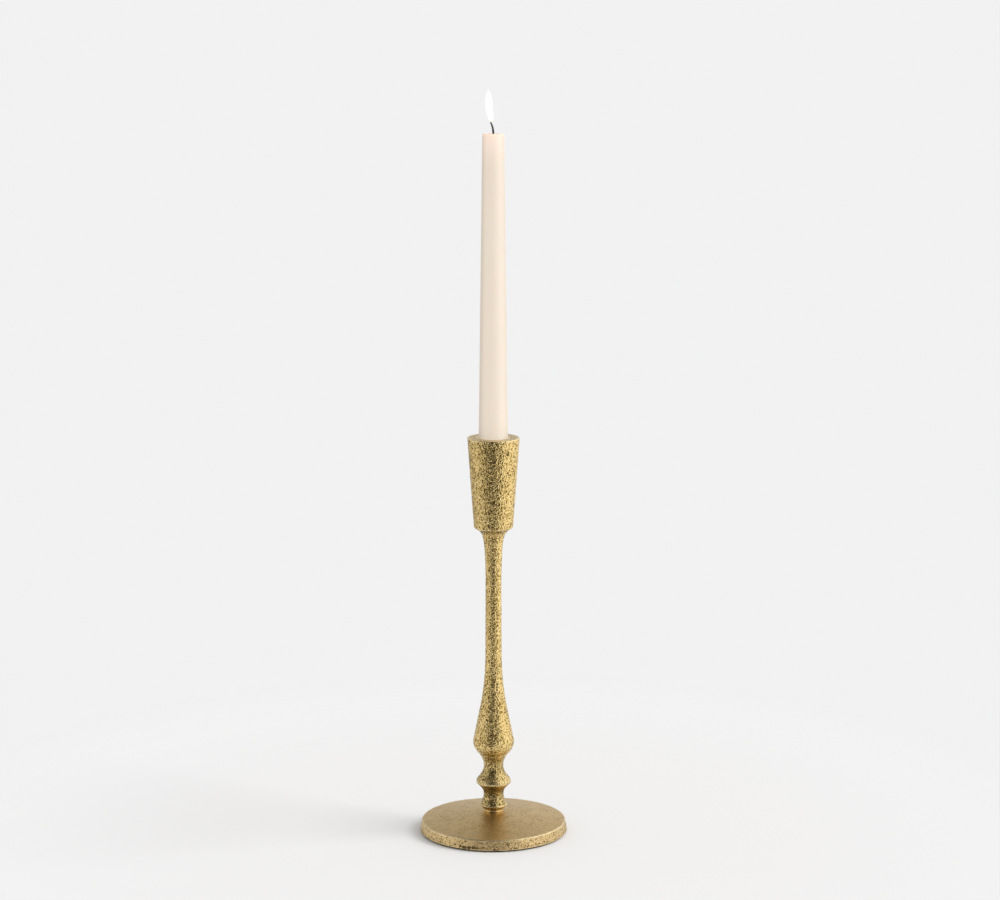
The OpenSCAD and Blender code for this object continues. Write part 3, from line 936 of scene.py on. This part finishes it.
# %% Candle
def candle_outline():
    """The candle's half section round its wick hole, in mm above its foot."""
    length = (wax_high.z - wax_low.z) / MM
    butt_r = wax_high.x / MM
    wick_r, top_r, soft, pool = 0.95, 8.15, 1.6, 0.8
    step = 1.5
    return outline(
        cut(line((wick_r, 0), (butt_r - 0.6, 0), step)),
        cast(line((butt_r, 1), (butt_r, 24), step)),
        cast(line((butt_r, 24), (top_r, length - soft), step)),
        cast(arc((top_r - soft, length - soft), soft, 8, 80, 0.25)),
        cut(curve((6.0, length - 0.04), (4.8, length - 0.2),
                  (3.4, length - pool), (2.2, length - pool), 0.4)),
        cut(line((2.2, length - pool), (wick_r, length - pool), 0.4)),
        cut(line((wick_r, length - pool), (wick_r, step), step)),
    )


candle = turned(
    "taper_candle", candle_outline(), wax_low.z, ivory_wax, closed_ring=True,
    facets_around=144, grain_depth=0.0, swell_size=30 * MM, swell_depth=0.22 * MM, seed=21.0,
)

# %% [markdown]
# ## The wick
# A candle wick is a flat braid of cotton yarns, and the braid is what makes it curl to one side as it
# burns. A tube with a bump pattern would look like string only from far away, so a tree braids three
# real yarns along the wick's path: each swings from side to side once while it swings twice from
# front to back, a third of a turn behind the last one. It works for any path and any thickness.

# %% Braiding a wick
def braid_tree():
    """Braids yarns along the object's own curve."""
    tree = new_tree("Braided wick", {
        "Yarns": ("NodeSocketInt", 3),
        "Yarn radius": ("NodeSocketFloat", 0.34 * MM),
        "Swing": ("NodeSocketFloat", 0.5 * MM),
        "Lay": ("NodeSocketFloat", 4.2 * MM),
        "Step": ("NodeSocketFloat", 0.42 * MM),
        "Material": ("NodeSocketMaterial", None),
    })
    given = add(tree, "NodeGroupInput").outputs
    feeds = {"Curve": given["Geometry"], "Length": given["Step"]}
    path = add(tree, "GeometryNodeResampleCurve", feeds, mode="LENGTH").outputs[0]
    feeds = {"Geometry": path, "Amount": given["Yarns"]}
    yarns = add(tree, "GeometryNodeDuplicateElements", feeds, domain="SPLINE").outputs
    along = add(tree, "GeometryNodeSplineParameter").outputs["Length"]
    late = calc(tree, "DIVIDE", yarns["Duplicate Index"], given["Yarns"])
    turns = calc(tree, "ADD", calc(tree, "DIVIDE", along, given["Lay"]), late)
    angle = calc(tree, "MULTIPLY", turns, 2 * math.pi)
    side = calc(tree, "MULTIPLY", calc(tree, "COSINE", angle), given["Swing"])
    twice = calc(tree, "SINE", calc(tree, "MULTIPLY", angle, 2.0))
    front = calc(tree, "MULTIPLY", calc(tree, "MULTIPLY", twice, 0.6), given["Swing"])
    tangent = add(tree, "GeometryNodeInputTangent").outputs[0]
    feeds = {0: tangent, 1: (0, 1, 0)}
    across = add(tree, "ShaderNodeVectorMath", feeds, operation="CROSS_PRODUCT").outputs[0]
    moves = []
    for way, much in ((across, side), ((0.0, 1.0, 0.0), front)):
        feeds = {0: way, "Scale": much}
        moves.append(add(tree, "ShaderNodeVectorMath", feeds, operation="SCALE").outputs[0])
    offset = add(tree, "ShaderNodeVectorMath", {0: moves[0], 1: moves[1]}, operation="ADD").outputs[0]
    laid = add(tree, "GeometryNodeSetPosition", {"Geometry": yarns[0], "Offset": offset}).outputs[0]
    feeds = {"Resolution": 7, "Radius": given["Yarn radius"]}
    round_yarn = add(tree, "GeometryNodeCurvePrimitiveCircle", feeds).outputs[0]
    thickness = add(tree, "GeometryNodeInputRadius").outputs[0]
    feeds = {"Curve": laid, "Profile Curve": round_yarn, "Scale": thickness, "Fill Caps": True}
    mesh = add(tree, "GeometryNodeCurveToMesh", feeds).outputs[0]
    mesh = add(tree, "GeometryNodeSetShadeSmooth", {"Geometry": mesh, "Shade Smooth": True}).outputs[0]
    finish_tree(tree, mesh, given["Material"])
    return tree


BRAID = braid_tree()
print("braid tree has", len(BRAID.nodes), "nodes")


# %% Cotton
def make_cotton():
    """Waxed white cotton below the pool, charred black above it."""
    made, tree, shader = new_material("wick_cotton")
    where = add(tree, "ShaderNodeTexCoord").outputs["Object"]
    height = add(tree, "ShaderNodeSeparateXYZ", {0: where}).outputs[2]
    fibre = noise(tree, where, 1 / (0.35 * MM), detail=3.0)
    fray = calc(tree, "MULTIPLY", calc(tree, "SUBTRACT", fibre, 0.5), 1.2 * MM)
    ragged = calc(tree, "ADD", height, fray)
    burnt = ease(tree, ragged, POOL_Z - 0.7 * MM, POOL_Z + 0.6 * MM)
    cotton = blend(tree, fibre, (0.62, 0.55, 0.42, 1), (0.84, 0.78, 0.66, 1))
    char = blend(tree, fibre, (0.002, 0.001, 0.001, 1), (0.012, 0.007, 0.006, 1))
    tree.links.new(blend(tree, burnt, cotton, char), shader.inputs["Base Color"])
    tree.links.new(ease(tree, fibre, 0.3, 0.7, 0.75, 0.95), shader.inputs["Roughness"])
    tree.links.new(ease(tree, burnt, 0.0, 1.0, 0.4, 0.05), shader.inputs["Specular IOR Level"])
    bumped(tree, shader, fibre, 0.08 * MM)
    return made


wick_cotton = make_cotton()
print(wick_cotton.name, "made of", len(wick_cotton.node_tree.nodes), "nodes")


# %% Wick
def wick_path():
    """Straight up through the candle, then bending over above the pool, in metres."""
    low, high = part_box("wick")
    bend = math.radians(28)
    bend_r = (high.z - POOL_Z - 0.25 * MM) / math.sin(bend)
    points = [(0, 0, low.z + (POOL_Z - low.z) * i / 40) for i in range(41)]
    for i in range(1, 9):
        turn = bend * i / 8
        points.append((-bend_r * (1 - math.cos(turn)), 0, POOL_Z + bend_r * math.sin(turn)))
    return points


def make_wick():
    """The braid along that path, a little thinner where it has burnt."""
    path = wick_path()
    shape = bpy.data.curves.new("wick_path", "CURVE")
    shape.dimensions = "3D"
    spline = shape.splines.new("POLY")
    spline.points.add(len(path) - 1)
    for point, place in zip(spline.points, path):
        point.co = (*place, 1)
        spent = max(0.0, (place[2] - POOL_Z) / (path[-1][2] - POOL_Z))
        point.radius = 1.0 - 0.45 * spent
    source = bpy.data.objects.new("wick_path", shape)
    scene.collection.objects.link(source)
    return measured(grown("braided_wick", source, BRAID, {"Material": wick_cotton}))


wick = make_wick()

# %% [markdown]
# ## The flame
# A small steady flame is a teardrop that starts just above the wick and leans with it. It has no
# surface of its own, so it is a glowing shell that grows clear towards its outline, and clear again
# round the wick, where the gas has not caught yet. It is turned like the castings and then each ring
# of it is slid sideways along a leaning centre line.

# %% Flame
def make_glow():
    """White light that thins out towards the flame's outline and its foot."""
    made, tree, shader = new_material("flame_glow")
    where = add(tree, "ShaderNodeTexCoord").outputs["Object"]
    height = add(tree, "ShaderNodeSeparateXYZ", {0: where}).outputs[2]
    lit = ease(tree, height, POOL_Z + 7.5 * MM, POOL_Z + 12 * MM)
    shader.inputs["Base Color"].default_value = (0, 0, 0, 1)
    shader.inputs["Specular IOR Level"].default_value = 0.0
    light = blend(tree, lit, (1.0, 0.8, 0.66, 1), (1.0, 1.0, 0.97, 1))
    tree.links.new(light, shader.inputs["Emission Color"])
    shader.inputs["Emission Strength"].default_value = 1.15
    facing = add(tree, "ShaderNodeLayerWeight", {"Blend": 0.5}).outputs["Facing"]
    solid = calc(tree, "MULTIPLY", ease(tree, facing, 0.97, 0.35), ease(tree, lit, 0.0, 0.5, 0.15, 1.0))
    tree.links.new(solid, shader.inputs["Alpha"])
    return made


def flame_outline():
    """The teardrop's half section, in mm above its foot."""
    return outline(
        cut(curve((0, 0), (1.1, 0.1), (1.6, 1.6), (2.1, 4), 0.5)),
        cut(curve((2.1, 4), (2.9, 7.6), (2.9, 11), (2.6, 15), 0.5)),
        cut(curve((2.6, 15), (2.3, 19), (1.3, 22.5), (0, 24), 0.5)),
    )


FLAME_FOOT = POOL_Z + 8 * MM
FLAME_RISE = (0, 4, 9, 16, 24)                # heights along its centre line, in mm
FLAME_LEAN = (-1.5, -2.0, -2.9, -3.3, -3.6)   # how far the line stands aside there, in mm


def make_flame():
    """Turns the teardrop and leans it along its centre line."""
    piece = turned(
        "flame", flame_outline(), FLAME_FOOT, make_glow(),
        facets_around=32, grain_depth=0.0, swell_depth=0.0,
    )
    for vertex in piece.data.vertices:
        rise = (vertex.co.z - FLAME_FOOT) / MM
        vertex.co.x += np.interp(rise, FLAME_RISE, FLAME_LEAN) * MM
    return piece


flame = make_flame()
print("flame tip at", round(max(v.co.z for v in flame.data.vertices), 4), "m")

# %% [markdown]
# ## Screws, studs and washers
# Nothing of these shows from outside, but they are what holds the castings together. A thread is a
# rule: at every height the groove has turned a little further round. So a tree takes a plain rod and
# pulls each point in by how far it lies from the crest of that turning groove. The slotted head is a
# short turned piece with the slot cut by a boolean, then joined to its threaded shank.

# %% Zinc plate
def make_zinc():
    """Bright zinc plate on steel, clouded and a little dull."""
    made, tree, shader = new_material("zinc_steel")
    where = add(tree, "ShaderNodeTexCoord").outputs["Object"]
    cloud = noise(tree, where, 1 / (2.5 * MM), detail=4.0, roughness=0.6)
    spangle = noise(tree, where, 1 / (0.4 * MM), detail=2.0)
    zinc = blend(tree, cloud, (0.42, 0.43, 0.44, 1), (0.66, 0.67, 0.68, 1))
    tree.links.new(zinc, shader.inputs["Base Color"])
    tree.links.new(ease(tree, cloud, 0.3, 0.7, 0.24, 0.44), shader.inputs["Roughness"])
    shader.inputs["Metallic"].default_value = 1.0
    bumped(tree, shader, spangle, 0.01 * MM)
    return made


zinc_steel = make_zinc()
print(zinc_steel.name, "made of", len(zinc_steel.node_tree.nodes), "nodes")


# %% The thread tree
def thread_tree():
    """Cuts a screw thread along the object's own rod, which stands on the Z axis."""
    tree = new_tree("Cut thread", {
        "Major radius": ("NodeSocketFloat", 3 * MM),
        "Pitch": ("NodeSocketFloat", 1 * MM),
        "Depth": ("NodeSocketFloat", 0.54 * MM),
        "Lowest": ("NodeSocketFloat", 0.0),
        "Highest": ("NodeSocketFloat", 0.02),
        "Material": ("NodeSocketMaterial", None),
    })
    given = add(tree, "NodeGroupInput").outputs
    place = add(tree, "GeometryNodeInputPosition").outputs[0]
    x, y, z = add(tree, "ShaderNodeSeparateXYZ", {0: place}).outputs
    turn = calc(tree, "DIVIDE", calc(tree, "ARCTAN2", y, x), 2 * math.pi)
    risen = calc(tree, "SUBTRACT", calc(tree, "DIVIDE", z, given["Pitch"]), turn)
    groove = calc(tree, "PINGPONG", risen, 0.5)
    vee = ease(tree, groove, 0.08, 0.44, 1.0, 0.0)
    top = calc(tree, "SUBTRACT", given["Highest"], z)
    top = calc(tree, "DIVIDE", top, given["Pitch"], clamp=True)
    foot = calc(tree, "SUBTRACT", z, given["Lowest"])
    foot = calc(tree, "DIVIDE", foot, given["Pitch"], clamp=True)
    ends = calc(tree, "SUBTRACT", 1.0, calc(tree, "MINIMUM", top, foot))
    cut_in = calc(tree, "MAXIMUM", vee, ends)
    pull = calc(tree, "DIVIDE", calc(tree, "MULTIPLY", cut_in, given["Depth"]), given["Major radius"])
    scale = calc(tree, "MULTIPLY", pull, -1.0)
    flat = add(tree, "ShaderNodeCombineXYZ", {0: x, 1: y, 2: 0.0}).outputs[0]
    push = add(tree, "ShaderNodeVectorMath", {0: flat, "Scale": scale}, operation="SCALE").outputs[0]
    feeds = {"Geometry": given["Geometry"], "Offset": push}
    cut_rod = add(tree, "GeometryNodeSetPosition", feeds).outputs[0]
    finish_tree(tree, cut_rod, given["Material"])
    return tree


THREAD = thread_tree()
print("thread tree has", len(THREAD.nodes), "nodes")


# %% Threaded rods
ROD_R = 3 * MM            # an M6 thread's outer radius


def rod(name, low, high, radius, facets=28, step=0.14):
    """A closed rod on the axis from low to high, in metres, with rings step mm apart."""
    rings = round((high - low) / (step * MM))
    shape = bmesh.new()
    loops = []
    for i in range(rings + 1):
        z = low + (high - low) * i / rings
        turns = [2 * math.pi * k / facets for k in range(facets)]
        loops.append([shape.verts.new((radius * math.cos(t), radius * math.sin(t), z)) for t in turns])
    for lower, upper in zip(loops, loops[1:]):
        for k in range(facets):
            shape.faces.new((lower[k], lower[(k + 1) % facets], upper[(k + 1) % facets], upper[k]))
    shape.faces.new(loops[0][::-1])
    shape.faces.new(loops[-1])
    mesh = bpy.data.meshes.new(name)
    shape.to_mesh(mesh)
    shape.free()
    made = bpy.data.objects.new(name, mesh)
    scene.collection.objects.link(made)
    return made


def threaded(name, low, high):
    """A threaded rod between two heights, in metres."""
    values = {"Lowest": low, "Highest": high, "Material": zinc_steel}
    return grown(name, rod(name + "_blank", low, high, ROD_R), THREAD, values)


# %% Studs
studs = {}
for node in ("lower_stud", "upper_stud"):
    low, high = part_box(node)
    studs[node] = measured(threaded("threaded_" + node, low.z, high.z))


# %% Slotted screw
def combined(piece, other, operation):
    """Joins another solid to a piece, or cuts it away, and drops the other."""
    step = piece.modifiers.new("shape", "BOOLEAN")
    step.operation = operation
    step.object = other
    depsgraph = bpy.context.evaluated_depsgraph_get()
    mesh = bpy.data.meshes.new_from_object(piece.evaluated_get(depsgraph))
    piece.modifiers.clear()
    piece.data = mesh
    bpy.data.objects.remove(other)
    return piece


def make_screw():
    """A cheese-head screw pointing up, with its slot underneath."""
    low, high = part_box("base_screw")
    head_r, head, slot_wide, slot_deep = high.x / MM, 3.9, 1.6, 1.8
    points = outline(
        cut(line((0, 0), (head_r - 0.5, 0), COARSE)),
        cut(arc((head_r - 0.5, 0.5), 0.5, -90, 0, 0.15)),
        cut(line((head_r, 0.5), (head_r, head - 0.1), COARSE)),
        cut(line((head_r - 0.1, head), (0, head), COARSE)),
    )
    screw = turned(
        "slotted_screw", points, low.z, zinc_steel, facets_around=56, grain_depth=0.0, swell_depth=0.0,
    )
    shape = bmesh.new()
    bmesh.ops.create_cube(shape, size=1.0)
    for corner in shape.verts:
        corner.co.x *= 3 * head_r * MM
        corner.co.y *= slot_wide * MM
        corner.co.z = low.z + (slot_deep if corner.co.z > 0 else -1.0) * MM
    mesh = bpy.data.meshes.new("slot_cutter")
    shape.to_mesh(mesh)
    shape.free()
    cutter = bpy.data.objects.new("slot_cutter", mesh)
    scene.collection.objects.link(cutter)
    combined(screw, cutter, "DIFFERENCE")
    return measured(combined(screw, threaded("shank", low.z + (head - 0.5) * MM, high.z), "UNION"))


screw = make_screw()

# %% [markdown]
# ## The felt
# A disc of pressed wool felt is glued into the recess, and stands out a little below the rim, so the
# metal never touches the table. From the side it is only a dark line, but from below it is all one
# sees.
# Pressed felt has no weave: it is a mat of fibres with a soft, uneven face and a fluffy cut edge. The
# disc gets its uneven face from the same lathe tree, and a scattering tree lays short bent fibres on
# its underside and round its edge. Each fibre has only a few faces, because there are many.

# %% Felt finish
def make_felt():
    """Black-green wool, lighter where fibres stand up and catch the light."""
    made, tree, shader = new_material("wool_felt")
    where = add(tree, "ShaderNodeTexCoord").outputs["Object"]
    mat = noise(tree, where, 1 / (0.7 * MM), detail=4.0, roughness=0.65)
    cloud = noise(tree, where, 1 / (12 * MM), detail=2.0)
    wool = blend(tree, mat, (0.008, 0.009, 0.008, 1), (0.04, 0.042, 0.038, 1))
    wool = blend(tree, calc(tree, "MULTIPLY", cloud, 0.35), wool, (0.055, 0.055, 0.05, 1))
    tree.links.new(wool, shader.inputs["Base Color"])
    shader.inputs["Roughness"].default_value = 0.95
    shader.inputs["Sheen Weight"].default_value = 0.35
    shader.inputs["Sheen Roughness"].default_value = 0.5
    bumped(tree, shader, mat, 0.25 * MM)
    return made


wool_felt = make_felt()
print(wool_felt.name, "made of", len(wool_felt.node_tree.nodes), "nodes")


# %% Felt disc
def make_felt_disc():
    """The pressed disc, with softened cut edges."""
    low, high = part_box("felt_pad")
    thick, r, soft, step = (high.z - low.z) / MM, high.x / MM, 0.4, 0.9
    foot = 0.2
    points = outline(
        cast(line((0, foot), (r - soft, foot), step)),
        cast(arc((r - soft, foot + soft), soft, -90, 0, 0.2)),
        cut(arc((r - soft, thick - soft), soft, 0, 90, 0.2)),
        cut(line((r - soft, thick), (0, thick), step)),
    )
    return turned(
        "felt_disc", points, low.z, wool_felt,
        facets_around=240, grain_size=1.4 * MM, grain_depth=0.07 * MM, swell_depth=0.05 * MM, seed=31.0,
    )


felt = make_felt_disc()


# %% Felt fibres
def fuzz_tree():
    """Scatters short bent fibres over the parts of a mesh that face down or outwards."""
    tree = new_tree("Felt fuzz", {
        "Fibres per square metre": ("NodeSocketFloat", 400000.0),
        "Fibre length": ("NodeSocketFloat", 1.1 * MM),
        "Fibre radius": ("NodeSocketFloat", 0.03 * MM),
        "Seed": ("NodeSocketInt", 7),
        "Material": ("NodeSocketMaterial", None),
    })
    given = add(tree, "NodeGroupInput").outputs
    normal = add(tree, "GeometryNodeInputNormal").outputs[0]
    upward = add(tree, "ShaderNodeSeparateXYZ", {0: normal}).outputs[2]
    faces_out = calc(tree, "LESS_THAN", upward, 0.3)
    feeds = {
        "Mesh": given["Geometry"],
        "Selection": faces_out,
        "Density": given["Fibres per square metre"],
        "Seed": given["Seed"],
    }
    spots = add(tree, "GeometryNodeDistributePointsOnFaces", feeds).outputs
    half = calc(tree, "MULTIPLY", given["Fibre length"], 0.5)
    ends = add(tree, "ShaderNodeCombineXYZ", {0: half, 1: 0.0, 2: 0.0}).outputs[0]
    start = add(tree, "ShaderNodeVectorMath", {0: ends, "Scale": -1.0}, operation="SCALE").outputs[0]
    bow = calc(tree, "MULTIPLY", half, 0.5)
    arch = add(tree, "ShaderNodeCombineXYZ", {0: 0.0, 1: bow, 2: 0.0}).outputs[0]
    feeds = {"Resolution": 3, "Start": start, "Middle": arch, "End": ends}
    bent = add(tree, "GeometryNodeCurveQuadraticBezier", feeds).outputs[0]
    feeds = {"Resolution": 3, "Radius": given["Fibre radius"]}
    thin = add(tree, "GeometryNodeCurvePrimitiveCircle", feeds).outputs[0]
    feeds = {"Curve": bent, "Profile Curve": thin, "Fill Caps": True}
    fibre = add(tree, "GeometryNodeCurveToMesh", feeds).outputs[0]
    feeds = {"Min": (-0.12, -0.12, 0.0), "Max": (0.12, 0.12, 2 * math.pi), "Seed": given["Seed"]}
    tumble = add(tree, "FunctionNodeRandomValue", feeds, data_type="FLOAT_VECTOR").outputs[0]
    laid = add(tree, "FunctionNodeAlignRotationToVector", {"Vector": spots["Normal"]}, axis="Z").outputs[0]
    spun = add(tree, "FunctionNodeEulerToRotation", {0: tumble}).outputs[0]
    turn = add(tree, "FunctionNodeRotateRotation", {0: laid, 1: spun}, rotation_space="LOCAL").outputs[0]
    feeds = {"Points": spots["Points"], "Instance": fibre, "Rotation": turn}
    many = add(tree, "GeometryNodeInstanceOnPoints", feeds).outputs[0]
    finish_tree(tree, many, given["Material"])
    return tree


def make_fuzz():
    """Fibres grown on a copy of the felt disc."""
    ground = bpy.data.objects.new("felt_ground", felt.data.copy())
    scene.collection.objects.link(ground)
    return measured(grown("felt_fibres", ground, fuzz_tree(), {"Material": wool_felt}))


fuzz = make_fuzz()

# %% [markdown]
# ## Putting it together
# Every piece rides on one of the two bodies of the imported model: the candle, its wick and its flame
# lift out of the socket together, and all the rest is the candlestick. Each new piece also says which
# CAD node it stands for, so the plain one is hidden and still collides. The two washers keep their CAD
# shape and only take the zinc finish.

# %% Bodies, nodes and finishes
STANDS_FOR = {
    base: ("base_disc", "candlestick", "cast_brass"),
    ring: ("foot_ring", "candlestick", "bright_brass"),
    knop: ("lower_knop", "candlestick", "cast_brass"),
    stem: ("stem", "candlestick", "cast_brass"),
    cup: ("candle_cup", "candlestick", "cast_brass"),
    screw: ("base_screw", "candlestick", "steel"),
    studs["lower_stud"]: ("lower_stud", "candlestick", "steel"),
    studs["upper_stud"]: ("upper_stud", "candlestick", "steel"),
    felt: ("felt_pad", "candlestick", "felt"),
    candle: ("candle_wax", "candle", "wax"),
    wick: ("wick", "candle", "wick"),
}
for piece, (node, body, finish) in STANDS_FOR.items():
    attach(piece, body)
    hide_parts(node)
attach(fuzz, "candlestick")
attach(flame, "candle")

for name in ("lock_washer", "flat_washer"):
    for slot in bpy.data.objects[name].material_slots:
        slot.material = zinc_steel

print("pieces:", len(STANDS_FOR) + 2)
